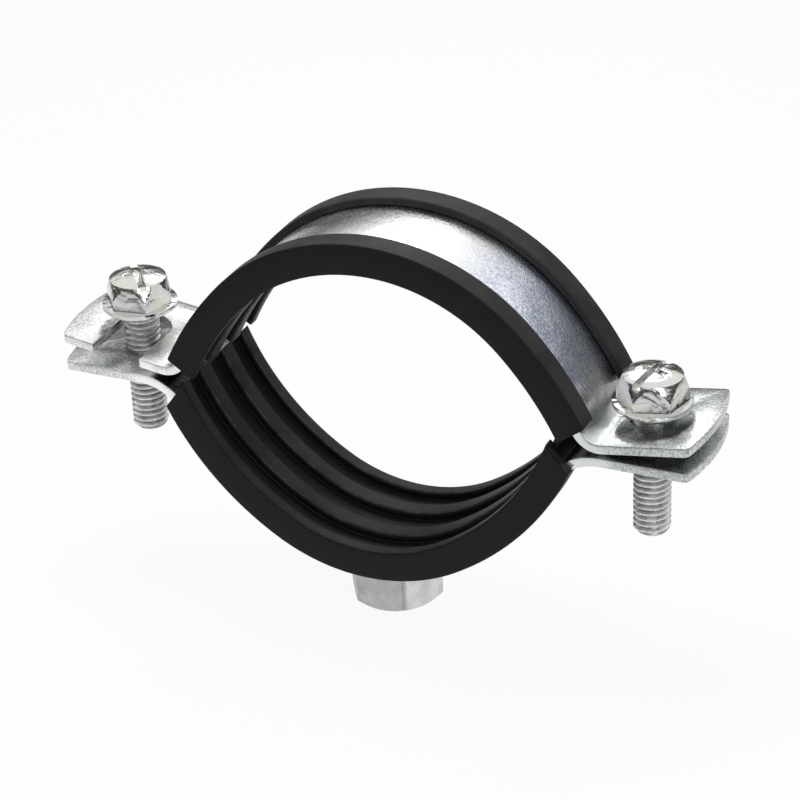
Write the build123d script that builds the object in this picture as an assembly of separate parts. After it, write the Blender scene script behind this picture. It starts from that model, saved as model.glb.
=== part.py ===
from build123d import *
import os
from collections import namedtuple
from math import cos, degrees, radians, sin, sqrt

# Rubber lined pipe clamp with two screws, millimetres, +Z up.
# The origin is the centre of the lower half's bottom arc, so Y is the axis of a pipe lying in it.
# +X runs towards the ears with the round hole, and -Y is the side where the quick-release slot opens.

# Steel strip
BAND_WIDTH = 20.0
BAND_THICKNESS = 1.5

# Rubber lining, a channel that wraps both edges of the strip
LINING_EDGE = 1.3            # rubber beyond each edge of the strip
LIP_HEIGHT = 1.3             # rubber standing over the outer face of the strip
LIP_WIDTH = 4.4              # reach of a lip from the lining's side
LINING_FLOOR = 0.9           # rubber under the ribs
RIB_HEIGHT = 1.4
EDGE_RIB_WIDTH = 2.3
MIDDLE_RIB_WIDTH = 3.1
MIDDLE_RIB_PLACE = 3.7       # from the middle of the strip to the middle of the rib
RUBBER_CHAMFER = 0.3         # on the lining's corners and the rib crests
LINING_CLEARANCE = 0.1       # between the strip and the channel that holds it

# A half is a crown arc with two straighter leg arcs, a bend outwards and two ears.
# Its radii are those of the rib crests that the pipe touches. Heights grow towards the crown.
# The lining has slipped a little along the strip, so it ends further on at the right.
Half = namedtuple("Half", "crown_radius leg_radius crown_angle shift crown_height bend_radius"
                          " ear_height ear_tilt lining_end lining_slip end_slant")
LOWER = Half(
    crown_radius=25.0,
    leg_radius=43.0,
    crown_angle=30.8,
    shift=0.0,
    crown_height=25.0,
    bend_radius=8.5,
    ear_height=1.1,
    ear_tilt=0.0,
    lining_end=65.0,
    lining_slip=0.6,
    end_slant=27.0,
)
UPPER = Half(
    crown_radius=29.8,
    leg_radius=51.7,
    crown_angle=46.0,
    shift=2.1,
    crown_height=23.3,
    bend_radius=3.0,
    ear_height=-0.4,
    ear_tilt=8.5,
    lining_end=63.5,
    lining_slip=-0.3,
    end_slant=8.0,
)

# Ears, seen from above
EAR_BEYOND_SCREW = 10.3      # from the screw's axis to the tip of the ear
EAR_END_RADIUS = 36.0
EAR_CORNER_RADIUS = 0.9

# Screws, M6, with a hexagon head on a thin round flange and a combined cross and slot recess
SCREW_SPACING = 88.0
SCREW_RADIUS = 2.95
SCREW_LENGTH = 22.0
SCREW_TIP_CHAMFER = 0.7
THREAD_CLEARANCE = 0.05      # between the screw and the tapped hole of the lower ear
HOLE_CLEARANCE = 0.5         # around the screw in the upper right ear
SLOT_CLEARANCE = 1.25        # around the screw in the upper left ear
SLOT_SHIFT = 0.7             # the slot's middle lies this much nearer the pipe than the screw
FLANGE_RADIUS = 6.1
FLANGE_THICKNESS = 0.8
HEAD_HEIGHT = 5.7
HEX_ACROSS_FLATS = 9.6
SHOULDER_RADIUS = 4.6        # where the head's side turns into its top
SHOULDER_HEIGHT = 5.0
CROWN_RADIUS = 3.4           # flat middle of the top
CROSS_LENGTH = 5.0
CROSS_WIDTH = 1.25
CROSS_DEPTH = 2.6
CROSS_TAPER = 12.0
SLOT_WIDTH = 1.3
SLOT_DEPTH = 1.3
LEFT_HEAD_HEIGHT = 6.0       # underside of the flange over the origin
RIGHT_HEAD_HEIGHT = 4.1
LEFT_SCREW_TURN = 129.0
RIGHT_SCREW_TURN = 77.0

# Hexagon nut welded under the lower strip, tapped M8 for the hanger rod
NUT_ACROSS_FLATS = 14.0
NUT_HEIGHT = 10.0
NUT_TURN = 2.0
NUT_CHAMFER = 1.25
NUT_CHAMFER_HEIGHT = 1.1
ROD_HOLE_RADIUS = 3.4
ROD_HOLE_CHAMFER = 0.6
NUT_CLEARANCE = 0.15         # between the nut's corners and the lips beside it

# Depths outwards from the rib crests
BAND_INSIDE = RIB_HEIGHT + LINING_FLOOR
BAND_OUTSIDE = BAND_INSIDE + BAND_THICKNESS
LINING_DEPTH = BAND_OUTSIDE + LIP_HEIGHT
LINING_WIDTH = BAND_WIDTH + 2 * LINING_EDGE
SCREW_X = SCREW_SPACING / 2
EAR_REACH = SCREW_X + EAR_BEYOND_SCREW
FOOT = (Align.CENTER, Align.CENTER, Align.MIN)


def turned(length, angle):
    """A step of the given length, at an angle from the crown's direction towards +X."""
    return Vector(length * sin(radians(angle)), length * cos(radians(angle)))


def crown_centre(half):
    return Vector(0, half.crown_height - half.crown_radius)


def leg_centre(half):
    return crown_centre(half) - turned(half.leg_radius - half.crown_radius, half.crown_angle)


def bend_centre(half):
    """The bend is tangent to the leg, and its lowest point gives the height of the ear."""
    inside = half.bend_radius + BAND_THICKNESS
    centre_height = half.ear_height + inside
    reach = half.leg_radius + BAND_INSIDE + inside
    rise = centre_height - leg_centre(half).Y
    return Vector(leg_centre(half).X + sqrt(reach ** 2 - rise ** 2), centre_height)


def arc_from_to(centre, radius, first, middle, last):
    return ThreePointArc(*[centre + turned(radius, angle) for angle in (first, middle, last)])


def strip_side(half, depth):
    """One face of the strip from the crown to past the right ear, at a depth from the crests."""
    crown, leg, bend = crown_centre(half), leg_centre(half), bend_centre(half)
    alpha = half.crown_angle
    joint = 90 - Vector(1, 0).get_angle(bend - leg) * (1 if bend.Y > leg.Y else -1)
    bend_radius = half.bend_radius + BAND_OUTSIDE - depth
    ear_start = bend + turned(bend_radius, 180 - half.ear_tilt)
    ear_end = ear_start + turned(EAR_REACH, 90 - half.ear_tilt)
    ear_angle = 180 - half.ear_tilt
    return [
        arc_from_to(crown, half.crown_radius + depth, 0, alpha / 2, alpha),
        arc_from_to(leg, half.leg_radius + depth, alpha, (alpha + joint) / 2, joint),
        arc_from_to(bend, bend_radius, joint + 180, (joint + 180 + ear_angle) / 2, ear_angle),
        Line(ear_start, ear_end),
    ]


def strip(half, clearance=0.0):
    """The bent strip, still without its ear outline and holes, or the room that it takes."""
    inside = strip_side(half, BAND_INSIDE - clearance)
    outside = strip_side(half, BAND_OUTSIDE + clearance)
    ends = [Line(inside[0] @ 0, outside[0] @ 0), Line(inside[-1] @ 1, outside[-1] @ 1)]
    right = make_face(Wire(inside + outside + ends))
    profile = Pos(half.shift, 0) * (right + mirror(right, Plane.YZ))
    return extrude(Plane.XZ * profile, BAND_WIDTH / 2 + clearance, both=True)


def ear_outline():
    """Plan of a strip with both ear ends rounded."""
    corner_reach = EAR_REACH - EAR_END_RADIUS + sqrt(EAR_END_RADIUS ** 2 - BAND_WIDTH ** 2 / 4)
    right_end = ThreePointArc(
        (corner_reach, -BAND_WIDTH / 2), (EAR_REACH, 0), (corner_reach, BAND_WIDTH / 2)
    )
    left_end = ThreePointArc(
        (-corner_reach, BAND_WIDTH / 2), (-EAR_REACH, 0), (-corner_reach, -BAND_WIDTH / 2)
    )
    sides = [Line(right_end @ 1, left_end @ 0), Line(left_end @ 1, right_end @ 0)]
    plan = make_face(Wire([right_end, left_end] + sides))
    plan = fillet(plan.vertices(), EAR_CORNER_RADIUS)
    return extrude(plan, 2 * EAR_REACH, both=True)


def upright(radius, x):
    """A tall drill through an ear."""
    return Pos(x, 0, 0) * Cylinder(radius, EAR_REACH)


def release_slot():
    """Slot round the left screw, open towards -Y, with a full round end."""
    radius = SCREW_RADIUS + SLOT_CLEARANCE
    middle = -SCREW_X + SLOT_SHIFT
    mouth = Pos(middle, -BAND_WIDTH / 2, 0) * Box(2 * radius, BAND_WIDTH, EAR_REACH)
    return mouth + upright(radius, middle)


def upper_band():
    band = strip(UPPER) & ear_outline()
    return band - release_slot() - upright(SCREW_RADIUS + HOLE_CLEARANCE, SCREW_X)


def lower_band():
    band = mirror(strip(LOWER), Plane.XY) & ear_outline()
    tap = SCREW_RADIUS + THREAD_CLEARANCE
    return band - upright(tap, SCREW_X) - upright(tap, -SCREW_X)


def lining_section():
    """Cut across the rubber: X is along the pipe, Y is the depth from the rib crests."""
    half_width = LINING_WIDTH / 2
    body = Pos(0, LINING_DEPTH / 2) * Rectangle(LINING_WIDTH, LINING_DEPTH)
    body = chamfer(body.vertices(), RUBBER_CHAMFER)
    channel = Pos(0, BAND_INSIDE + BAND_THICKNESS / 2) * Rectangle(BAND_WIDTH, BAND_THICKNESS)
    window = Pos(0, LINING_DEPTH) * Rectangle(LINING_WIDTH - 2 * LIP_WIDTH, 2 * LIP_HEIGHT)
    body -= channel + window
    rib_edges = [
        -half_width + EDGE_RIB_WIDTH,
        -MIDDLE_RIB_PLACE - MIDDLE_RIB_WIDTH / 2,
        -MIDDLE_RIB_PLACE + MIDDLE_RIB_WIDTH / 2,
        MIDDLE_RIB_PLACE - MIDDLE_RIB_WIDTH / 2,
        MIDDLE_RIB_PLACE + MIDDLE_RIB_WIDTH / 2,
        half_width - EDGE_RIB_WIDTH,
    ]
    for left, right in zip(rib_edges[::2], rib_edges[1::2]):
        body -= Pos((left + right) / 2, 0) * Rectangle(right - left, 2 * RIB_HEIGHT)
    crest_corners = body.vertices().filter_by(
        lambda v: abs(v.Y) < 0.01 and min(abs(v.X - edge) for edge in rib_edges) < 0.01
    )
    return chamfer(crest_corners, RUBBER_CHAMFER)


def end_cutter(half, last_angle):
    """Block past the slanted end of a lining's leg, whose outer corner is at the given angle."""
    corner = leg_centre(half) + turned(half.leg_radius + LINING_DEPTH, last_angle)
    inwards = turned(1, last_angle + 180 - half.end_slant)
    onwards = turned(1, last_angle + 90 - half.end_slant)
    far = half.leg_radius / 2
    outline = [
        corner - inwards * far,
        corner + inwards * far,
        corner + inwards * far + onwards * far,
        corner - inwards * far + onwards * far,
    ]
    return extrude(Plane.XZ * make_face(Polyline(*outline, close=True)), LINING_WIDTH, both=True)


def lining_leg(half, shoulder, slip):
    """Right leg of a lining, from its section at the shoulder to the slanted end."""
    leg = leg_centre(half)
    last_angle = half.lining_end + degrees(slip / (half.leg_radius + LINING_DEPTH))
    overrun = 1.5 * degrees(LINING_DEPTH / half.leg_radius)
    axis = Axis((leg.X, 0, leg.Y), (0, 1, 0))
    block = revolve(shoulder, axis, last_angle + overrun - half.crown_angle)
    return block - end_cutter(half, last_angle)


def lining(half):
    """The section turned along the crown arc and both leg arcs, crown up, less the strip's room."""
    across = Plane(origin=(0, 0, 0), x_dir=(0, 1, 0), z_dir=(1, 0, 0))
    section = across * Pos(0, half.crown_height) * lining_section()
    crown_axis = Axis((0, 0, crown_centre(half).Y), (0, 1, 0))
    crown = revolve(section.rotate(crown_axis, -half.crown_angle), crown_axis, 2 * half.crown_angle)
    shoulder = section.rotate(crown_axis, half.crown_angle)
    right_leg = lining_leg(half, shoulder, half.lining_slip)
    left_leg = mirror(lining_leg(half, shoulder, -half.lining_slip), Plane.YZ)
    return Pos(half.shift, 0, 0) * (crown + right_leg + left_leg) - strip(half, LINING_CLEARANCE)


def upper_lining():
    return lining(UPPER)


def lower_lining():
    """The lower lining has a round cut in its lips for the corners of the nut."""
    clearance_hole = NUT_ACROSS_FLATS / sqrt(3) + NUT_CLEARANCE
    return mirror(lining(LOWER), Plane.XY) - under_strip(Circle(clearance_hole))


def under_strip(outline):
    """Bar of the given outline from the nut's foot up to the lower strip."""
    outside = LOWER.crown_radius + BAND_OUTSIDE
    bar = Pos(0, 0, -outside - NUT_HEIGHT) * extrude(outline, outside + NUT_HEIGHT)
    return bar - Rot(90, 0, 0) * Cylinder(outside, 2 * BAND_WIDTH)


def coupling_nut():
    foot = -LOWER.crown_radius - BAND_OUTSIDE - NUT_HEIGHT
    corner = NUT_ACROSS_FLATS / sqrt(3)
    nut = under_strip(Rot(0, 0, NUT_TURN) * RegularPolygon(NUT_ACROSS_FLATS / 2, 6, major_radius=False))
    nut &= Pos(0, 0, foot) * tapered(
        (corner - NUT_CHAMFER, 0), (corner, NUT_CHAMFER_HEIGHT), (corner, 2 * NUT_HEIGHT)
    )
    chamfer_radius = ROD_HOLE_RADIUS + ROD_HOLE_CHAMFER
    hole = tapered(
        (chamfer_radius, 0),
        (ROD_HOLE_RADIUS, ROD_HOLE_CHAMFER),
        (ROD_HOLE_RADIUS, NUT_HEIGHT - ROD_HOLE_CHAMFER),
        (chamfer_radius, NUT_HEIGHT),
        (chamfer_radius, 2 * NUT_HEIGHT),
    )
    return nut - Pos(0, 0, foot) * hole


def tapered(*radii_and_heights):
    """Round bar about Z with straight sides between (radius, height) stations, bottom to top."""
    stations = list(radii_and_heights)
    bar = None
    for (low_radius, low), (high_radius, high) in zip(stations, stations[1:]):
        piece = Cone(low_radius, high_radius, high - low, align=FOOT) if low_radius != high_radius \
            else Cylinder(low_radius, high - low, align=FOOT)
        piece = Pos(0, 0, low) * piece
        bar = piece if bar is None else bar + piece
    return bar


def screw_head():
    """Flange at height 0, hexagon cut from a cone, slightly raised top with cross and slot."""
    flange = tapered((FLANGE_RADIUS, 0), (FLANGE_RADIUS, FLANGE_THICKNESS))
    cone = tapered(
        (FLANGE_RADIUS, FLANGE_THICKNESS), (SHOULDER_RADIUS, SHOULDER_HEIGHT), (CROWN_RADIUS, HEAD_HEIGHT)
    )
    hexagon = extrude(RegularPolygon(HEX_ACROSS_FLATS / 2, 6, major_radius=False), HEAD_HEIGHT)
    head = flange + (cone & hexagon)
    wing = Rectangle(CROSS_LENGTH, CROSS_WIDTH)
    cross = extrude(wing + Rot(0, 0, 90) * wing, -CROSS_DEPTH, taper=CROSS_TAPER)
    slot = Pos(0, 0, HEAD_HEIGHT) * Box(3 * FLANGE_RADIUS, SLOT_WIDTH, 2 * SLOT_DEPTH)
    return head - Pos(0, 0, HEAD_HEIGHT) * cross - slot


def screw(x, height, turn):
    shank = tapered(
        (SCREW_RADIUS - SCREW_TIP_CHAMFER, -SCREW_LENGTH),
        (SCREW_RADIUS, SCREW_TIP_CHAMFER - SCREW_LENGTH),
        (SCREW_RADIUS, 0),
    )
    return Pos(x, 0, height) * Rot(0, 0, turn) * (screw_head() + shank)


def main():
    os.makedirs("parts", exist_ok=True)
    nodes = {
        "upper_band": upper_band(),
        "lower_band": lower_band(),
        "upper_lining": upper_lining(),
        "lower_lining": lower_lining(),
        "coupling_nut": coupling_nut(),
        "left_screw": screw(-SCREW_X, LEFT_HEAD_HEIGHT, LEFT_SCREW_TURN),
        "right_screw": screw(SCREW_X, RIGHT_HEAD_HEIGHT, RIGHT_SCREW_TURN),
    }
    for name, shape in nodes.items():
        export_step(shape, f"parts/{name}.step")


main()
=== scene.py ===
from collections import namedtuple
from math import acos, asin, cos, degrees, pi, radians, sin, sqrt, tan

import bmesh
import bpy
from mathutils import Matrix, Vector


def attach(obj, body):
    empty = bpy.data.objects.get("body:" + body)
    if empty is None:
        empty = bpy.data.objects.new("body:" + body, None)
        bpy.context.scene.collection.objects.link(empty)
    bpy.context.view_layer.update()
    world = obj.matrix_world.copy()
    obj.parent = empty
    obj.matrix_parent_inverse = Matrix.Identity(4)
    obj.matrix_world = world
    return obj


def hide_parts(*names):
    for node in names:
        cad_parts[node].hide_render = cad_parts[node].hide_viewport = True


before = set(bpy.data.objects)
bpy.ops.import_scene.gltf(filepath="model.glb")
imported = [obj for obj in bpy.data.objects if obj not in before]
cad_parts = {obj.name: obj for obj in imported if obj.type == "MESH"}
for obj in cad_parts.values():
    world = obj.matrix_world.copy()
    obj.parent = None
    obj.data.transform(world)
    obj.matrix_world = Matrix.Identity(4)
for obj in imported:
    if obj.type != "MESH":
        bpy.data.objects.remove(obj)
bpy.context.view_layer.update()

# Sizes are in millimetres, as on the part itself; meshes are stored in metres.
MM = 0.001
PAST = 60.0                  # farther out than any side of the clamp
CUT_PAST = 1.0               # how far a cutter reaches beyond the metal
POLE_RADIUS = 0.05           # a turned top closes at this radius, not in a point

BAND_WIDTH = 20.0
BAND_THICKNESS = 1.5
BAND_INSIDE = 2.3            # depth of the strip's inner face outwards from the rib crests
BAND_OUTSIDE = BAND_INSIDE + BAND_THICKNESS
BAND_EDGE_ROUNDING = 0.16

LINING_WIDTH = 22.6
LINING_DEPTH = 5.1
LIP_WIDTH = 4.4
RIB_HEIGHT = 1.4
EDGE_RIB_WIDTH = 2.3
MIDDLE_RIB_WIDTH = 3.1
MIDDLE_RIB_PLACE = 3.7
RUBBER_ROUNDING = 0.34
GROOVE_ROUNDING = 0.2
LINING_CLEARANCE = 0.1

EAR_REACH = 54.3
EAR_END_RADIUS = 36.0
EAR_CORNER_RADIUS = 0.9
SCREW_X = 44.0
SLOT_X = -43.3
SLOT_RADIUS = 4.2
HOLE_RADIUS = 3.45
TAP_RADIUS = 3.0

FLANGE_RADIUS = 6.1
FLANGE_THICKNESS = 0.8
HEAD_HEIGHT = 5.7
SHOULDER_RADIUS = 4.6
SHOULDER_HEIGHT = 5.0
CONE_FOOT = 0.3              # the head's cone starts inside the flange
HEX_ACROSS_FLATS = 9.6
HEAD_ROUNDING = 0.14
CROSS_LENGTH = 5.0
CROSS_WIDTH = 1.25
CROSS_DEPTH = 2.6
CROSS_TOP = 0.2              # height over the head at which the cross has its full size
CROSS_END_TAPER = 0.72       # size of the cross at its bottom, as a part of the full size
CROSS_SIDE_TAPER = 0.6
SLOT_WIDTH = 1.3
SLOT_DEPTH = 1.3
SLOT_REACH = 8.0             # past the sides of the head
LEFT_HEAD = 6.0              # heights of the undersides of the heads
RIGHT_HEAD = 4.1
LEFT_TURN = 129.0            # turns of the screws about their axes
RIGHT_TURN = 77.0
SCREW_LENGTH = 22.0
SCREW_PITCH = 1.0
SCREW_CREST = 2.93
SCREW_ROOT = 2.4
TIP_CHAMFER = 0.7
TIP_PLUG = 0.5               # height of the plug that closes the tip

NUT_FOOT = -38.8
NUT_HEIGHT = 10.0
NUT_ACROSS_FLATS = 14.0
NUT_TURN = 2.0
NUT_PITCH = 1.25
NUT_MINOR = 3.4
NUT_MAJOR = 3.95
NUT_ROUNDING = 0.12
NUT_CHAMFER_INWARD = 1.25    # chamfer of the corners at the foot
NUT_CHAMFER_RISE = 1.1
NUT_MOUTH_RADIUS = 4.0
NUT_MOUTH_DEPTH = 0.05

THREAD_COLUMNS = 48          # steps round one turn
THREAD_ROWS = 8              # steps along one pitch
THREAD_FLANK = (0.08, 0.8)   # where a ridge starts to rise, and where it is at its full height
MERGE_DISTANCE = 0.002

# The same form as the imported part's: crown arc, two leg arcs, bend and ear.
Half = namedtuple("Half", "crown_radius leg_radius crown_angle shift crown_height bend_radius"
                          " ear_height ear_tilt lining_end lining_slip end_slant sign")
LOWER = Half(
    crown_radius=25.0, leg_radius=43.0, crown_angle=30.8, shift=0.0, crown_height=25.0,
    bend_radius=8.5, ear_height=1.1, ear_tilt=0.0,
    lining_end=65.0, lining_slip=0.6, end_slant=27.0, sign=-1,
)
UPPER = Half(
    crown_radius=29.8, leg_radius=51.7, crown_angle=46.0, shift=2.1, crown_height=23.3,
    bend_radius=3.0, ear_height=-0.4, ear_tilt=8.5,
    lining_end=63.5, lining_slip=-0.3, end_slant=8.0, sign=1,
)
ARC_STEP = 1.5               # degrees between two cross-sections

# Zones in which one look gives way to another, as distances in millimetres.
MIDDLE = (-1.0, 1.0)         # between the left side and the right
FLANK_START = (13.5, 22.5)   # the flank's grain and painted darker blue reflection, along X
FLANK_END = (32.0, 35.0)
FLANK_FOOT = (0.0, 2.0)
FLANK_WANDER = 16.0          # how far the cloudiness moves the flank's edge
BEND_START = (32.0, 36.0)
EAR_START = (37.5, 42.0)
BEND_WANDER = 8.0
SHUT_START = (32.0, 34.0)    # painted shade in the gap between the two halves, at the bends
SHUT_END = (36.5, 38.5)
SHUT_TOP = -1.0
SHUT_INSET = 0.2             # it stops this far from the strip's edges
TIP_MARGIN = 0.05            # a screw's flat tip is not a groove
FACET_EDGE = (-0.1, 0.1)     # where the nut's painted shade gives way to painted light, at a corner
EDGE_LINE = (0.1, 0.4)       # the dark line along that edge
RUBBER_SIDE = (10.8, 11.2)   # where the lining's skin ends and its side face, painted in shade, begins

FLOOR_REACH = 900.0
FLOOR_NEAR = (100.0, 300.0)  # the metal sees the floor bright up to here
FLOOR_LEFT = (100.0, 400.0)  # and from here to the left
FLOOR_WHITE = 0.92           # share of plain white in the floor that the camera sees
FLOOR_BRIGHT = 0.9           # strength of the near floor in the metal
FLOOR_DIM = 0.15             # and of the far floor
HORIZON = (0.2, 0.52)        # rise of the studio's brightness, as heights of a direction
STUDIO_DARK = 0.08           # strength of the studio below that, in the metal
AMBIENT = 0.3                # strength of the world's light on the clamp

CAMERA_AZIMUTH = 25.607
CAMERA_ELEVATION = 28.372
CAMERA_ROLL = -2.643
CAMERA_TARGET = (1.986, 0, -3.363)
CAMERA_DISTANCE = 406.73
CAMERA_LENS = 116.15
CAMERA_SHIFT = 0.0013


def turned(length, angle):
    return Vector((length * sin(radians(angle)), length * cos(radians(angle))))


def crown_centre(half):
    return Vector((0, half.crown_height - half.crown_radius))


def leg_centre(half):
    return crown_centre(half) - turned(half.leg_radius - half.crown_radius, half.crown_angle)


def bend_centre(half):
    inside = half.bend_radius + BAND_THICKNESS
    height = half.ear_height + inside
    reach = half.leg_radius + BAND_INSIDE + inside
    rise = height - leg_centre(half).y
    return Vector((leg_centre(half).x + sqrt(reach ** 2 - rise ** 2), height))


def arc(centre, radius, first, last):
    steps = max(2, round(abs(last - first) / ARC_STEP))
    return [centre + turned(radius, first + (last - first) * i / steps) for i in range(steps + 1)]


# ---------------------------------------------------------------- meshes

def piece(name, vertices, faces):
    mesh = bpy.data.meshes.new(name)
    mesh.from_pydata([Vector(v) * MM for v in vertices], [], faces)
    mesh.validate()
    obj = bpy.data.objects.new(name, mesh)
    bpy.context.scene.collection.objects.link(obj)
    face_outwards(obj)
    return obj


def face_outwards(obj):
    shape = bmesh.new()
    shape.from_mesh(obj.data)
    bmesh.ops.recalc_face_normals(shape, faces=shape.faces)
    shape.to_mesh(obj.data)
    shape.free()


def lofted(name, rings):
    """Closed skin over rings with equal numbers of points, with a flat cap at each end."""
    count = len(rings[0])
    faces = [
        [r * count + i, r * count + (i + 1) % count,
         (r + 1) * count + (i + 1) % count, (r + 1) * count + i]
        for r in range(len(rings) - 1) for i in range(count)
    ]
    faces += [list(range(count)), [(len(rings) - 1) * count + i for i in range(count)]]
    return piece(name, [point for ring in rings for point in ring], faces)


def prism(name, outline, bottom, top):
    return lofted(name, [[(x, y, z) for x, y in outline] for z in (bottom, top)])


def lathe(name, profile):
    """Solid of revolution about Z from (radius, height) points, bottom to top."""
    segments = 96
    turns = [2 * pi * i / segments for i in range(segments)]
    return lofted(name, [[(r * cos(a), r * sin(a), z) for a in turns] for r, z in profile])


def applied(obj):
    """The piece with its modifiers applied for good."""
    graph = bpy.context.evaluated_depsgraph_get()
    graph.update()
    mesh = bpy.data.meshes.new_from_object(obj.evaluated_get(graph))
    obj.modifiers.clear()
    obj.data = mesh
    return obj


def combined(obj, tool, operation):
    """Boolean of two pieces; the tool is used up."""
    cut = obj.modifiers.new(operation, "BOOLEAN")
    cut.operation = operation
    cut.object = tool
    cut.solver = "EXACT"
    applied(obj)
    bpy.data.objects.remove(tool)
    return obj


def rounded(obj, width, angle=35):
    bevel = obj.modifiers.new("edges", "BEVEL")
    bevel.width = width * MM
    bevel.segments = 2
    bevel.limit_method = "ANGLE"
    bevel.angle_limit = radians(angle)
    bevel.use_clamp_overlap = True
    return applied(obj)


def smoothed(obj, angle=32):
    obj.data.shade_smooth()
    obj.data.set_sharp_from_angle(angle=radians(angle))
    return obj


def moved(obj, matrix):
    obj.data.transform(matrix)
    return obj


def at(x, z, turn=0.0):
    """Matrix that turns a piece about Z and sets it in the clamp's middle plane."""
    return Matrix.Translation((x * MM, 0, z * MM)) @ Matrix.Rotation(radians(turn), 4, "Z")


def circle(radius, x=0.0, y=0.0, segments=64, first=0.0, sweep=360.0):
    count = segments if sweep == 360.0 else segments + 1
    return [
        (x + radius * cos(radians(first + sweep * i / segments)),
         y + radius * sin(radians(first + sweep * i / segments)))
        for i in range(count)
    ]


def hexagon(across_flats):
    return circle(across_flats / 2 / cos(pi / 6), segments=6)


def rectangle(half_length, half_width):
    return [(-half_length, -half_width), (half_length, -half_width),
            (half_length, half_width), (-half_length, half_width)]


def filleted(outline, radii):
    """Outline with each corner turned into an arc; a radius of 0 leaves the corner."""
    points = []
    steps = 4
    count = len(outline)
    for i, radius in enumerate(radii):
        corner = Vector(outline[i])
        if not radius:
            points.append(corner)
            continue
        before = (Vector(outline[i - 1]) - corner).normalized()
        after = (Vector(outline[(i + 1) % count]) - corner).normalized()
        half_angle = acos(before.dot(after)) / 2
        start = corner + before * radius / tan(half_angle)
        end = corner + after * radius / tan(half_angle)
        centre = corner + (before + after).normalized() * radius / sin(half_angle)
        for step in range(steps + 1):
            towards = (start - centre).lerp(end - centre, step / steps)
            points.append(centre + towards.normalized() * radius)
    return points


# ---------------------------------------------------------------- steel strips

def strip_side(half, depth):
    """Points of one face of the strip, from the crown to past the end of the ear."""
    crown, leg, bend = crown_centre(half), leg_centre(half), bend_centre(half)
    joint = 90 - degrees(asin((bend.y - leg.y) / (bend - leg).length))
    ear_angle = 180 - half.ear_tilt
    bend_radius = half.bend_radius + BAND_OUTSIDE - depth
    points = arc(crown, half.crown_radius + depth, 0, half.crown_angle)
    points += arc(leg, half.leg_radius + depth, half.crown_angle, joint)[1:]
    points += arc(bend, bend_radius, joint + 180, ear_angle)[1:]
    return points + [points[-1] + turned(EAR_REACH, 90 - half.ear_tilt)]


def both_legs(half, right, left=None):
    """Adds the mirrored leg, shifts the half to its place and turns it crown up or down."""
    line = [(-p.x, p.y) for p in reversed((left or right)[1:])] + [(p.x, p.y) for p in right]
    return [(x + half.shift, half.sign * z) for x, z in line]


def strip(name, half, clearance=0.0):
    inside = both_legs(half, strip_side(half, BAND_INSIDE - clearance))
    outside = both_legs(half, strip_side(half, BAND_OUTSIDE + clearance))
    edge = BAND_WIDTH / 2 + clearance
    return lofted(name, [
        [(xi, -edge, zi), (xi, edge, zi), (xo, edge, zo), (xo, -edge, zo)]
        for (xi, zi), (xo, zo) in zip(inside, outside)
    ])


def ear_plan():
    """Both ears seen from above: rounded ends with small corners."""
    half_width = BAND_WIDTH / 2
    swing = degrees(asin(half_width / EAR_END_RADIUS))
    centre = EAR_REACH - EAR_END_RADIUS
    right = circle(EAR_END_RADIUS, x=centre, segments=12, first=-swing, sweep=2 * swing)
    radii = [EAR_CORNER_RADIUS] + [0] * (len(right) - 2) + [EAR_CORNER_RADIUS]
    return filleted(right + [(-x, -y) for x, y in right], radii * 2)


def release_slot():
    mouth = -BAND_WIDTH
    round_end = circle(SLOT_RADIUS, x=SLOT_X, segments=32, first=0, sweep=180)
    return round_end + [(SLOT_X - SLOT_RADIUS, mouth), (SLOT_X + SLOT_RADIUS, mouth)]


def band(name, half, cuts):
    steel = combined(strip(name, half), prism("plan", ear_plan(), -PAST, PAST), "INTERSECT")
    for outline in cuts:
        steel = combined(steel, prism("cut", outline, -PAST, PAST), "DIFFERENCE")
    return smoothed(rounded(steel, BAND_EDGE_ROUNDING))


# ---------------------------------------------------------------- rubber linings

def lining_section():
    """Outline across the rubber: (place along the pipe, depth from the rib crests)."""
    side = LINING_WIDTH / 2
    lip = side - LIP_WIDTH
    crest, groove, corner = RUBBER_ROUNDING, GROOVE_ROUNDING, RUBBER_ROUNDING
    ribs = [
        side - EDGE_RIB_WIDTH,
        MIDDLE_RIB_PLACE + MIDDLE_RIB_WIDTH / 2,
        MIDDLE_RIB_PLACE - MIDDLE_RIB_WIDTH / 2,
    ]
    right = [(side, LINING_DEPTH, corner), (side, 0, corner)]
    right += [(ribs[0], 0, crest), (ribs[0], RIB_HEIGHT, groove)]
    right += [(ribs[1], RIB_HEIGHT, groove), (ribs[1], 0, crest)]
    right += [(ribs[2], 0, crest), (ribs[2], RIB_HEIGHT, groove)]
    left = [(-y, depth, radius) for y, depth, radius in reversed(right)]
    lips = [
        (-lip, LINING_DEPTH, corner), (-lip, BAND_OUTSIDE, 0),
        (lip, BAND_OUTSIDE, 0), (lip, LINING_DEPTH, corner),
    ]
    outline = right + left + lips
    return filleted([(y, depth) for y, depth, _ in outline], [radius for _, _, radius in outline])


def end_angle(half, depth, slip):
    """Where a fibre of the lining at this depth meets the slanted end."""
    outside = half.leg_radius + LINING_DEPTH
    last = half.lining_end + degrees(slip / outside)
    facing = last + 90 - half.end_slant
    corner = turned(outside, last)
    return facing - degrees(acos(corner.dot(turned(1, facing)) / (half.leg_radius + depth)))


def half_fibre(half, depth, leg_steps, slip):
    """Line along one leg of the lining, from the crown to the slanted end."""
    crown, leg = crown_centre(half), leg_centre(half)
    last = end_angle(half, depth, slip)
    side = arc(crown, half.crown_radius + depth, 0, half.crown_angle)
    for step in range(1, leg_steps + 1):
        angle = half.crown_angle + (last - half.crown_angle) * step / leg_steps
        side.append(leg + turned(half.leg_radius + depth, angle))
    return side


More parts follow.
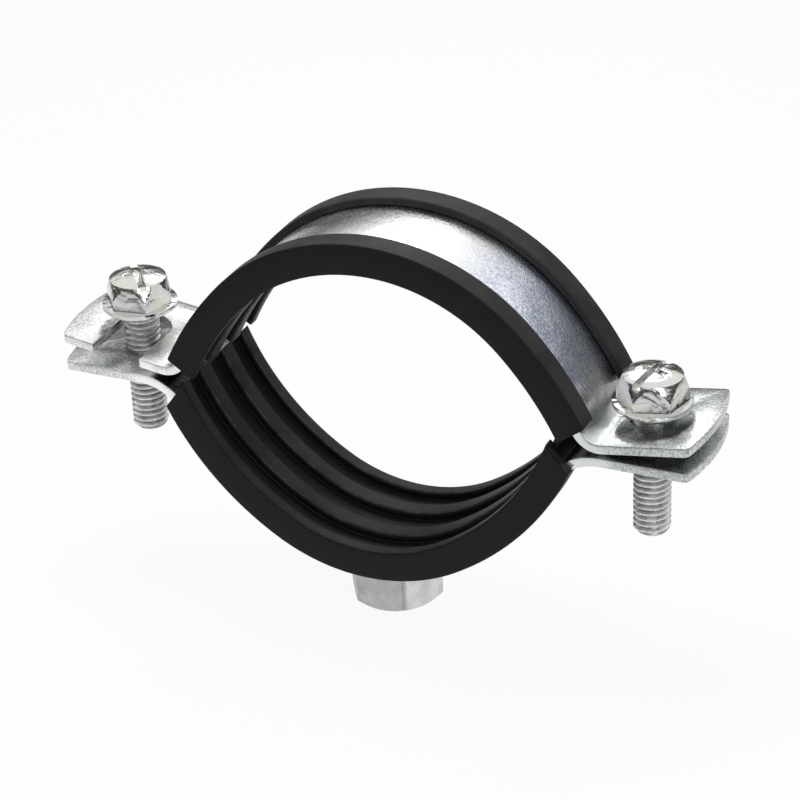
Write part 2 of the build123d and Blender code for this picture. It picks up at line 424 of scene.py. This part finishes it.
def fibre(half, depth, leg_steps):
    right = half_fibre(half, depth, leg_steps, half.lining_slip)
    left = half_fibre(half, depth, leg_steps, -half.lining_slip)
    return both_legs(half, right, left)


def lining(name, half):
    """A lining. Its attribute hollow is 0 on skin and crests, and 1 in grooves and inside lips."""
    leg_steps = round((half.lining_end - half.crown_angle) / ARC_STEP)
    section = lining_section()
    fibres = [(y, fibre(half, depth, leg_steps)) for y, depth in section]
    count = len(fibres[0][1])
    rubber = lofted(name, [
        [(line[i][0], y, line[i][1]) for y, line in fibres] for i in range(count)
    ])
    hollow = [min(depth / RIB_HEIGHT, 1) * (depth <= BAND_OUTSIDE) for _, depth in section]
    attribute = rubber.data.attributes.new("hollow", "FLOAT", "POINT")
    attribute.data.foreach_set("value", hollow * count)
    return combined(rubber, strip("room", half, LINING_CLEARANCE), "DIFFERENCE")


# ---------------------------------------------------------------- node graphs

class Value:
    """A socket of a node graph that takes part in sums."""

    def __init__(self, graph, socket):
        self.graph, self.socket = graph, socket

    def maths(self, operation, *others):
        return self.graph.node("ShaderNodeMath", operation=operation, **{
            f"in_{i}": value for i, value in enumerate((self,) + others)
        })

    def __add__(self, other): return self.maths("ADD", other)
    def __sub__(self, other): return self.maths("SUBTRACT", other)
    def __mul__(self, other): return self.maths("MULTIPLY", other)
    def __truediv__(self, other): return self.maths("DIVIDE", other)
    def __rsub__(self, other): return self.maths("MULTIPLY_ADD", -1, other)
    def __rtruediv__(self, other): return self.maths("POWER", -1) * other
    def __pow__(self, other): return self.maths("POWER", other)
    def __neg__(self): return self * -1
    __radd__, __rmul__ = __add__, __mul__

    def smoothstep(self, low, high):
        return self.graph.node(
            "ShaderNodeMapRange", interpolation_type="SMOOTHSTEP",
            Value=self, From_Min=low, From_Max=high,
        )

    def past(self, zone):
        """0 before a zone given in millimetres, 1 beyond it, and a soft change between."""
        return self.smoothstep(zone[0] * MM, zone[1] * MM)


class Graph:
    """Makes nodes in a tree. Inputs are given by name, with _ for a space, or as in_0, in_1."""

    def __init__(self, tree):
        self.tree = tree

    def node(self, kind, out=0, **words):
        """A new node; words are settings or inputs, and out picks the output that is used."""
        made = self.tree.nodes.new(kind)
        names = {
            socket.name.replace(" ", "_"): socket for socket in reversed(made.inputs)
            if socket.enabled or kind != "ShaderNodeMapRange"
        }
        links = {
            key: words.pop(key) for key in list(words) if key in names or key.startswith("in_")
        }
        for key, value in words.items():
            setattr(made, key, value)
        for key, value in links.items():
            socket = made.inputs[int(key[3:])] if key.startswith("in_") else names[key]
            self.feed(socket, value)
        return Value(self, made.outputs[out])

    def feed(self, socket, value):
        if isinstance(value, Value):
            self.tree.links.new(value.socket, socket)
        else:
            socket.default_value = value

    def mix(self, factor, low, high):
        """Colour between two colours."""
        return self.node("ShaderNodeMix", out=2, data_type="RGBA", in_0=factor, in_6=low, in_7=high)

    def noise(self, place, scale, detail=2.0, roughness=0.5, distortion=0.0):
        return self.node("ShaderNodeTexNoise", Vector=place, Scale=scale, Detail=detail,
                         Roughness=roughness, Distortion=distortion)

    def stretched(self, place, scale):
        return self.node("ShaderNodeMapping", Vector=place, Scale=scale)

    def parts(self, vector):
        """X, Y and Z of a vector, each as a Value."""
        split = self.node("ShaderNodeSeparateXYZ", in_0=vector).socket.node
        return [Value(self, socket) for socket in split.outputs]

    def rays(self):
        """Whether the camera sees the surface, and whether a glossy reflection does."""
        ray = self.node("ShaderNodeLightPath").socket.node
        return [Value(self, ray.outputs[name]) for name in ("Is Camera Ray", "Is Glossy Ray")]


def material(name, **constants):
    """A material with its Principled sockets set, and a graph to add to."""
    made = bpy.data.materials.new(name)
    made.use_nodes = True
    graph = Graph(made.node_tree)
    shader = made.node_tree.nodes["Principled BSDF"]
    for key, value in constants.items():
        shader.inputs[key.replace("_", " ")].default_value = value
    place = graph.node("ShaderNodeTexCoord", out="Object")
    return made, graph, shader, place


def bumped(graph, shader, height, distance):
    bump = graph.node("ShaderNodeBump", Height=height, Distance=distance * MM, Strength=1.0)
    graph.feed(shader.inputs["Normal"], bump)


def zinc_strip():
    """Zinc-plated strip: bright, with grain and a painted darker blue reflection on one flank,
    drawn streaks at the bends, painted light and shade on the ears and bends, and painted shade
    between the halves.
    """
    made, graph, shader, place = material("zinc_strip", Metallic=1.0)
    grain = graph.noise(place, 2300.0, detail=3.0, roughness=0.75)
    cloud = graph.noise(place, 170.0, detail=5.0, roughness=0.65)
    along = graph.stretched(place, (0.15, 4.0, 0.15))
    streaks = graph.noise(along, 600.0, detail=4.0, roughness=0.6)
    x, y, z = graph.parts(place)
    aside = x.maths("ABSOLUTE")
    far_out = aside + (cloud - 0.5) * (BEND_WANDER * MM)
    ear = far_out.past(EAR_START)
    bend = far_out.past(BEND_START) * (1.0 - ear)
    flank = (x + (cloud - 0.5) * (FLANK_WANDER * MM)).past(FLANK_START)
    flank = flank * (1.0 - far_out.past(FLANK_END)) * z.past(FLANK_FOOT)
    mottle = (grain * (1.5 - bend * 0.8) + cloud * 0.8 + streaks * (bend * 1.6 + 0.1)) / 2.4
    mottle = mottle.smoothstep(0.36, 0.62)
    clear = graph.mix(mottle, (0.74, 0.76, 0.79, 1), (0.96, 0.96, 0.96, 1))
    # Painted reflection: the flank's darker blue-grey tone, broken up by the grain.
    shaded_tone = graph.mix(mottle, (0.31, 0.35, 0.50, 1), (0.90, 0.93, 1.0, 1))
    # Painted light and shade: a lighter tone for the left ear and bend, a darker one for the right;
    # the grain and streaks in both are the strip's own.
    left = graph.mix(mottle, (0.42, 0.44, 0.42, 1), (0.93, 0.94, 0.93, 1))
    right = graph.mix(mottle, (0.27, 0.28, 0.28, 1), (0.68, 0.70, 0.71, 1))
    zone_colour = graph.mix(x.past(MIDDLE), left, right)
    either = (ear + bend).maths("MINIMUM", 1.0)
    colour = graph.mix(either, graph.mix(flank, clear, shaded_tone), zone_colour)
    # Painted shade: near black in the gap between the halves at the bends, below the middle plane.
    gap_shade = aside.past(SHUT_START) * (1.0 - aside.past(SHUT_END))
    gap_shade = gap_shade * z.maths("LESS_THAN", SHUT_TOP * MM)
    gap_shade = gap_shade * y.maths("ABSOLUTE").maths("LESS_THAN", (BAND_WIDTH / 2 - SHUT_INSET) * MM)
    graph.feed(shader.inputs["Base Color"], graph.mix(gap_shade, colour, (0.07, 0.07, 0.075, 1)))
    graph.feed(shader.inputs["Roughness"], 0.34 - mottle * 0.12)
    relief = grain * (0.4 + flank * 0.5) + streaks * (bend * 1.5 + 0.2) + cloud * 1.6
    bumped(graph, shader, relief, 0.06)
    return made


def bright_zinc():
    """Bright zinc on the screws: a mirror-like head, and painted shade in the grooves between the
    threads.
    """
    made, graph, shader, place = material("bright_zinc", Metallic=1.0)
    film = graph.noise(place, 260.0, detail=2.0, distortion=0.8)
    scuffs = graph.noise(place, 900.0, detail=4.0, roughness=0.7)
    x, y, z = graph.parts(place)
    beside = x.maths("ABSOLUTE") - SCREW_X * MM
    radius = (beside * beside + y * y) ** 0.5
    under = x.past(MIDDLE) * ((RIGHT_HEAD - LEFT_HEAD) * MM) + LEFT_HEAD * MM
    shank = z.maths("LESS_THAN", under)
    above_tip = (under - (SCREW_LENGTH - TIP_MARGIN) * MM).maths("LESS_THAN", z)
    groove = (1.0 - radius.past((SCREW_ROOT, SCREW_CREST))) * shank * above_tip
    head = graph.mix(film.smoothstep(0.42, 0.7), (0.64, 0.65, 0.65, 1), (0.70, 0.68, 0.60, 1))
    bare = graph.mix(scuffs.smoothstep(0.3, 0.7), (0.52, 0.53, 0.52, 1), (0.84, 0.85, 0.86, 1))
    zone_colour = graph.mix(shank, head, bare)
    # Painted shade: the grooves between the threads are darkened.
    colour = graph.mix(groove * 0.45, zone_colour, (0.12, 0.12, 0.115, 1))
    graph.feed(shader.inputs["Base Color"], colour)
    graph.feed(shader.inputs["Roughness"], 0.08 + scuffs * 0.10 + shank * 0.24)
    bumped(graph, shader, scuffs * 0.6 + film * 4.5, 0.08)
    return made


def nut_zinc():
    """Cold-drawn hexagon bar under the zinc, cloudy and drawn along its length, with painted shade
    on one side of a front corner and painted light on the other.
    """
    made, graph, shader, place = material("nut_zinc", Metallic=1.0)
    cloud = graph.noise(place, 420.0, detail=5.0, roughness=0.6)
    lines = graph.noise(graph.stretched(place, (1.0, 1.0, 0.2)), 1400.0, detail=3.0)
    mottle = (cloud * 0.8 + lines * 0.3).smoothstep(0.3, 0.85)
    corner = NUT_ACROSS_FLATS / sqrt(3) * cos(radians(NUT_TURN - 60))
    from_edge = graph.parts(place)[0] - corner * MM
    edge = 1.0 - from_edge.maths("ABSOLUTE").past(EDGE_LINE)
    # Painted light and shade: left of the front corner the nut is darker, right of it lighter.
    shaded_tone = graph.mix(mottle, (0.40, 0.41, 0.41, 1), (0.58, 0.59, 0.59, 1))
    clear = graph.mix(mottle, (0.60, 0.61, 0.62, 1), (0.80, 0.81, 0.82, 1))
    colour = graph.mix(from_edge.past(FACET_EDGE), shaded_tone, clear)
    colour = graph.mix(edge * 0.5, colour, (0.2, 0.2, 0.2, 1))
    graph.feed(shader.inputs["Base Color"], colour)
    graph.feed(shader.inputs["Roughness"], 0.34 + lines * 0.2)
    bumped(graph, shader, lines + cloud * 0.5, 0.03)
    return made


def epdm_rubber():
    """Extruded rubber: a bloom on crests and lips, painted highlights along the rib edges, and
    painted shade in the grooves and on the side faces.
    """
    made, graph, shader, place = material("epdm_rubber", Metallic=0.0, Specular_IOR_Level=0.18)
    bloom = graph.noise(place, 190.0, detail=5.0, roughness=0.6)
    lines = graph.noise(graph.stretched(place, (0.25, 6.0, 0.25)), 800.0, detail=2.0)
    pits = graph.noise(place, 2600.0, detail=2.0)
    side = graph.parts(place)[1].maths("ABSOLUTE").past(RUBBER_SIDE)
    hollow = graph.node("ShaderNodeAttribute", out="Fac", attribute_name="hollow")
    dusty = bloom.smoothstep(0.35, 0.75)
    skin = graph.mix(dusty, (0.022, 0.0217, 0.022, 1), (0.040, 0.0395, 0.0405, 1))
    # Painted shade: the grooves and the inner faces of the lips darken almost to black.
    skin = graph.mix(hollow.smoothstep(0.1, 0.7), skin, (0.004, 0.004, 0.0035, 1))
    # Painted highlight: a thin lighter line along the rounded rib edges, broken up by the bloom.
    rib_edge_highlight = hollow.smoothstep(0.01, 0.05) * (1.0 - hollow.smoothstep(0.08, 0.22))
    skin = graph.mix(rib_edge_highlight * bloom.smoothstep(0.4, 0.6), skin, (0.085, 0.085, 0.085, 1))
    # Painted shade: the side faces get a much darker tone than the skin, with the bloom still in
    # it.
    side_face_shade = graph.mix(dusty, (0.0055, 0.005, 0.0045, 1), (0.0085, 0.008, 0.0075, 1))
    graph.feed(shader.inputs["Base Color"], graph.mix(side, skin, side_face_shade))
    graph.feed(shader.inputs["Roughness"], 0.40 + bloom * 0.16 + pits * 0.08)
    bumped(graph, shader, lines * 0.6 + pits * 0.5 + bloom * 0.8, 0.05)
    return made


# ---------------------------------------------------------------- threads

def thread_nodes():
    """A node group that turns a grid into a helical thread round Z, from 0 up to the length."""
    tree = bpy.data.node_groups.new("thread", "GeometryNodeTree")
    panel = tree.interface
    for name, kind, value in (
        ("Length", "NodeSocketFloat", 0.02), ("Pitch", "NodeSocketFloat", 0.001),
        ("Root Radius", "NodeSocketFloat", 0.0024), ("Crest Radius", "NodeSocketFloat", 0.0029),
        ("Point Chamfer", "NodeSocketFloat", 0.0), ("Rows", "NodeSocketInt", 64),
        ("Material", "NodeSocketMaterial", None),
    ):
        made = panel.new_socket(name, in_out="INPUT", socket_type=kind)
        if value is not None:
            made.default_value = value
    panel.new_socket("Geometry", in_out="OUTPUT", socket_type="NodeSocketGeometry")
    graph = Graph(tree)
    given = tree.nodes.new("NodeGroupInput")
    length, pitch, root, crest, chamfer, rows, finish = [
        Value(graph, given.outputs[i]) for i in range(7)
    ]
    grid = graph.node("GeometryNodeMeshGrid", Size_X=1.0, Size_Y=1.0,
                      Vertices_X=rows, Vertices_Y=THREAD_COLUMNS + 1)
    along, around = [
        part + 0.5 for part in graph.parts(graph.node("GeometryNodeInputPosition"))[:2]
    ]
    rise = along * (length + pitch) + (around - 1.0) * pitch
    height = rise.maths("MAXIMUM", 0.0).maths("MINIMUM", length)
    phase = (rise / pitch - around).maths("FRACT")
    ridge = (1.0 - (phase * 2.0 - 1.0).maths("ABSOLUTE")).smoothstep(*THREAD_FLANK)
    plain = root + (crest - root) * ridge
    pointed = plain.maths("MINIMUM", crest - chamfer + height)
    radius = chamfer.maths("GREATER_THAN", 0.0) * (pointed - plain) + plain
    turn = around * (2 * pi)
    where = graph.node("ShaderNodeCombineXYZ", X=radius * turn.maths("COSINE"),
                       Y=radius * turn.maths("SINE"), Z=height)
    shaped = graph.node("GeometryNodeSetPosition", Geometry=grid, Position=where)
    welded = graph.node("GeometryNodeMergeByDistance", Geometry=shaped,
                        Distance=MERGE_DISTANCE * MM)
    whole = graph.node("GeometryNodeRealizeInstances", Geometry=welded)
    finished = graph.node("GeometryNodeSetMaterial", Geometry=whole, Material=finish)
    result = tree.nodes.new("NodeGroupOutput")
    tree.links.new(finished.socket, result.inputs[0])
    return tree


def thread(name, tree, finish, length, pitch, root, crest, chamfer=0.0):
    carrier = piece(name, [(0, 0, 0)], [])
    made = carrier.modifiers.new("thread", "NODES")
    made.node_group = tree
    sizes = {
        "Length": length * MM, "Pitch": pitch * MM,
        "Root Radius": root * MM, "Crest Radius": crest * MM, "Point Chamfer": chamfer * MM,
        "Rows": round((length / pitch + 1) * THREAD_ROWS) + 1, "Material": finish,
    }
    for item in tree.interface.items_tree:
        if item.in_out == "INPUT":
            made[item.identifier] = sizes[item.name]
    return smoothed(applied(carrier), angle=50)


def joined(name, parts):
    """One piece made of several; dressed() gives it its material."""
    shape = bmesh.new()
    for part in parts:
        shape.from_mesh(part.data)
    mesh = bpy.data.meshes.new(name)
    shape.to_mesh(mesh)
    shape.free()
    obj = bpy.data.objects.new(name, mesh)
    bpy.context.scene.collection.objects.link(obj)
    for part in parts:
        bpy.data.objects.remove(part)
    return obj


# ---------------------------------------------------------------- screws and nut

def screw_head():
    """Round flange, hexagon cut from a domed cone, and a cross with a slot through it."""
    rise = HEAD_HEIGHT - SHOULDER_HEIGHT
    dome_radius = (SHOULDER_RADIUS ** 2 + rise ** 2) / (2 * rise)
    swing = asin(SHOULDER_RADIUS / dome_radius)
    steps = 8
    turns = [swing * k / steps for k in range(steps, 0, -1)]
    dome = [(dome_radius * sin(a), HEAD_HEIGHT - dome_radius * (1 - cos(a))) for a in turns]
    sides = [(FLANGE_RADIUS, CONE_FOOT), (FLANGE_RADIUS, FLANGE_THICKNESS)]
    cone = lathe("cone", sides + dome + [(POLE_RADIUS, HEAD_HEIGHT)])
    bar = prism("hexagon", hexagon(HEX_ACROSS_FLATS), 0, HEAD_HEIGHT + CUT_PAST)
    head = combined(cone, bar, "INTERSECT")
    flange = lathe("flange", [(FLANGE_RADIUS, 0), (FLANGE_RADIUS, FLANGE_THICKNESS)])
    head = combined(head, flange, "UNION")
    wing = rectangle(CROSS_LENGTH / 2, CROSS_WIDTH / 2)
    for outline in (wing, [(-y, x) for x, y in wing]):
        narrow = [(x * CROSS_END_TAPER, y * CROSS_SIDE_TAPER) for x, y in outline]
        bottom, top = HEAD_HEIGHT - CROSS_DEPTH, HEAD_HEIGHT + CROSS_TOP
        rings = [[(x, y, bottom) for x, y in narrow], [(x, y, top) for x, y in outline]]
        head = combined(head, lofted("cross", rings), "DIFFERENCE")
    slot = rectangle(SLOT_REACH, SLOT_WIDTH / 2)
    cutter = prism("slot", slot, HEAD_HEIGHT - SLOT_DEPTH, HEAD_HEIGHT + CUT_PAST)
    head = combined(head, cutter, "DIFFERENCE")
    return smoothed(rounded(head, HEAD_ROUNDING, angle=25))


def screw(name, x, height, turn, tree, finish):
    shank = thread("shank", tree, finish, SCREW_LENGTH, SCREW_PITCH, SCREW_ROOT, SCREW_CREST,
                   chamfer=TIP_CHAMFER)
    moved(shank, at(0, -SCREW_LENGTH))
    radius = SCREW_CREST - TIP_CHAMFER
    tip = lathe("tip", [(radius, -SCREW_LENGTH), (radius / 2, TIP_PLUG - SCREW_LENGTH)])
    made = joined(name, [screw_head(), shank, tip])
    return moved(made, at(x, height, turn))


def coupling_nut(tree, finish):
    """Chamfered hexagon that fits the strip's curve, with its thread inside."""
    outside = -NUT_FOOT - NUT_HEIGHT
    body = prism("nut_body", hexagon(NUT_ACROSS_FLATS), 0, -NUT_FOOT)
    moved(body, at(0, NUT_FOOT, NUT_TURN))
    corner = NUT_ACROSS_FLATS / sqrt(3)
    chamfer_top = NUT_FOOT + NUT_CHAMFER_RISE
    blank = lathe("blank", [
        (corner - NUT_CHAMFER_INWARD, NUT_FOOT), (corner, chamfer_top), (corner, 0),
    ])
    body = combined(body, blank, "INTERSECT")
    saddle = lathe("saddle", [(outside, -BAND_WIDTH), (outside, BAND_WIDTH)])
    moved(saddle, Matrix.Rotation(pi / 2, 4, "X"))
    body = combined(body, saddle, "DIFFERENCE")
    bore = lathe("bore", [
        (NUT_MOUTH_RADIUS, NUT_FOOT - CUT_PAST), (NUT_MOUTH_RADIUS, NUT_FOOT),
        (NUT_MAJOR, NUT_FOOT + NUT_MOUTH_DEPTH), (NUT_MAJOR, 0),
    ])
    body = smoothed(rounded(combined(body, bore, "DIFFERENCE"), NUT_ROUNDING))
    lines = thread("nut_thread", tree, finish, NUT_HEIGHT, NUT_PITCH, NUT_MAJOR, NUT_MINOR)
    moved(lines, at(0, NUT_FOOT))
    return joined("hanger_nut", [body, lines])


# ---------------------------------------------------------------- the clamp

def dressed(obj, finish, body, node):
    obj.data.materials.clear()
    obj.data.materials.append(finish)
    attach(obj, body)
    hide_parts(node)


def build_clamp():
    strip_finish, screw_finish = zinc_strip(), bright_zinc()
    rubber, nut_finish = epdm_rubber(), nut_zinc()
    tree = thread_nodes()
    taps = [circle(TAP_RADIUS, x=SCREW_X), circle(TAP_RADIUS, x=-SCREW_X)]
    lower = band("lower_strip", LOWER, taps)
    upper = band("upper_strip", UPPER, [circle(HOLE_RADIUS, x=SCREW_X), release_slot()])
    dressed(lower, strip_finish, "lower_half", "lower_band")
    dressed(upper, strip_finish, "upper_half", "upper_band")
    lower_rubber = smoothed(lining("lower_rubber", LOWER))
    upper_rubber = smoothed(lining("upper_rubber", UPPER))
    dressed(lower_rubber, rubber, "lower_half", "lower_lining")
    dressed(upper_rubber, rubber, "upper_half", "upper_lining")
    dressed(coupling_nut(tree, nut_finish), nut_finish, "lower_half", "coupling_nut")
    left = screw("slot_screw", -SCREW_X, LEFT_HEAD, LEFT_TURN, tree, screw_finish)
    right = screw("pivot_screw", SCREW_X, RIGHT_HEAD, RIGHT_TURN, tree, screw_finish)
    dressed(left, screw_finish, "left_screw_body", "left_screw")
    dressed(right, screw_finish, "right_screw_body", "right_screw")


# ---------------------------------------------------------------- stage, lights and camera

def build_stage():
    """A floor that looks white from the camera and in the metal, and still takes the shadow."""
    corners = [(x, y, NUT_FOOT) for x, y in rectangle(FLOOR_REACH, FLOOR_REACH)]
    floor = piece("floor", corners, [[0, 1, 2, 3]])
    made, graph, shader, place = material(
        "floor", Base_Color=(0.9, 0.9, 0.9, 1), Roughness=0.9, Specular_IOR_Level=0.0,
    )
    seen, glossy = graph.rays()
    x, y, _ = graph.parts(place)
    near = 1.0 - ((x * x + y * y) ** 0.5).past(FLOOR_NEAR)
    near = near.maths("MAXIMUM", (-x).past(FLOOR_LEFT))
    seen = seen.maths("MAXIMUM", glossy * (near * (FLOOR_BRIGHT - FLOOR_DIM) + FLOOR_DIM))
    glow = graph.node("ShaderNodeEmission", Color=(1, 1, 1, 1), Strength=1.0)
    plain = Value(graph, shader.outputs[0])
    both = graph.node("ShaderNodeMixShader", Fac=seen * FLOOR_WHITE, in_1=plain, in_2=glow)
    graph.feed(made.node_tree.nodes["Material Output"].inputs[0], both)
    floor.data.materials.append(made)


def build_world():
    """White behind the clamp, and a studio in the reflections: bright overhead, dark low down."""
    world = bpy.data.worlds.new("studio")
    world.use_nodes = True
    bpy.context.scene.world = world
    graph = Graph(world.node_tree)
    seen, glossy = graph.rays()
    height = graph.parts(graph.node("ShaderNodeTexCoord", out="Generated"))[2]
    studio = height.smoothstep(*HORIZON) + STUDIO_DARK
    plain = seen * (1 - AMBIENT) + AMBIENT
    background = world.node_tree.nodes["Background"]
    background.inputs["Color"].default_value = (1, 1, 1, 1)
    graph.feed(background.inputs["Strength"], glossy * (studio - plain) + plain)


def softbox(name, spot, size, power):
    """A rectangular area light that faces the clamp."""
    light = bpy.data.lights.new(name, "AREA")
    light.shape = "RECTANGLE"
    light.size, light.size_y = size[0] * MM, size[1] * MM
    light.energy = power
    lamp = bpy.data.objects.new(name, light)
    bpy.context.scene.collection.objects.link(lamp)
    lamp.location = Vector(spot) * MM
    lamp.rotation_euler = Vector(spot).to_track_quat("Z", "Y").to_euler()
    return lamp


def build_lights():
    key = softbox("key", spot=(-60, 60, 330), size=(240, 200), power=0.85)
    key.visible_glossy = False
    softbox("back", spot=(-95, 310, 265), size=(140, 90), power=0.16)
    softbox("fill", spot=(260, -260, 160), size=(160, 160), power=0.25)


def build_camera():
    azimuth, elevation = radians(CAMERA_AZIMUTH), radians(CAMERA_ELEVATION)
    roll = radians(CAMERA_ROLL)
    back = Vector((sin(azimuth) * cos(elevation), -cos(azimuth) * cos(elevation), sin(elevation)))
    right = Vector((cos(azimuth), sin(azimuth), 0))
    up = back.cross(right)
    across = right * cos(roll) + up * sin(roll)
    upwards = up * cos(roll) - right * sin(roll)
    lens = bpy.data.cameras.new("camera")
    lens.lens = CAMERA_LENS
    lens.sensor_width = 36.0
    lens.shift_y = CAMERA_SHIFT
    lens.clip_start = 0.01
    camera = bpy.data.objects.new("camera", lens)
    bpy.context.scene.collection.objects.link(camera)
    spot = (Vector(CAMERA_TARGET) + back * CAMERA_DISTANCE) * MM
    facing = Matrix((across, upwards, back)).transposed().to_4x4()
    camera.matrix_world = Matrix.Translation(spot) @ facing
    bpy.context.scene.camera = camera


build_clamp()
build_stage()
build_world()
build_lights()
build_camera()
bpy.context.scene.view_settings.view_transform = "Standard"
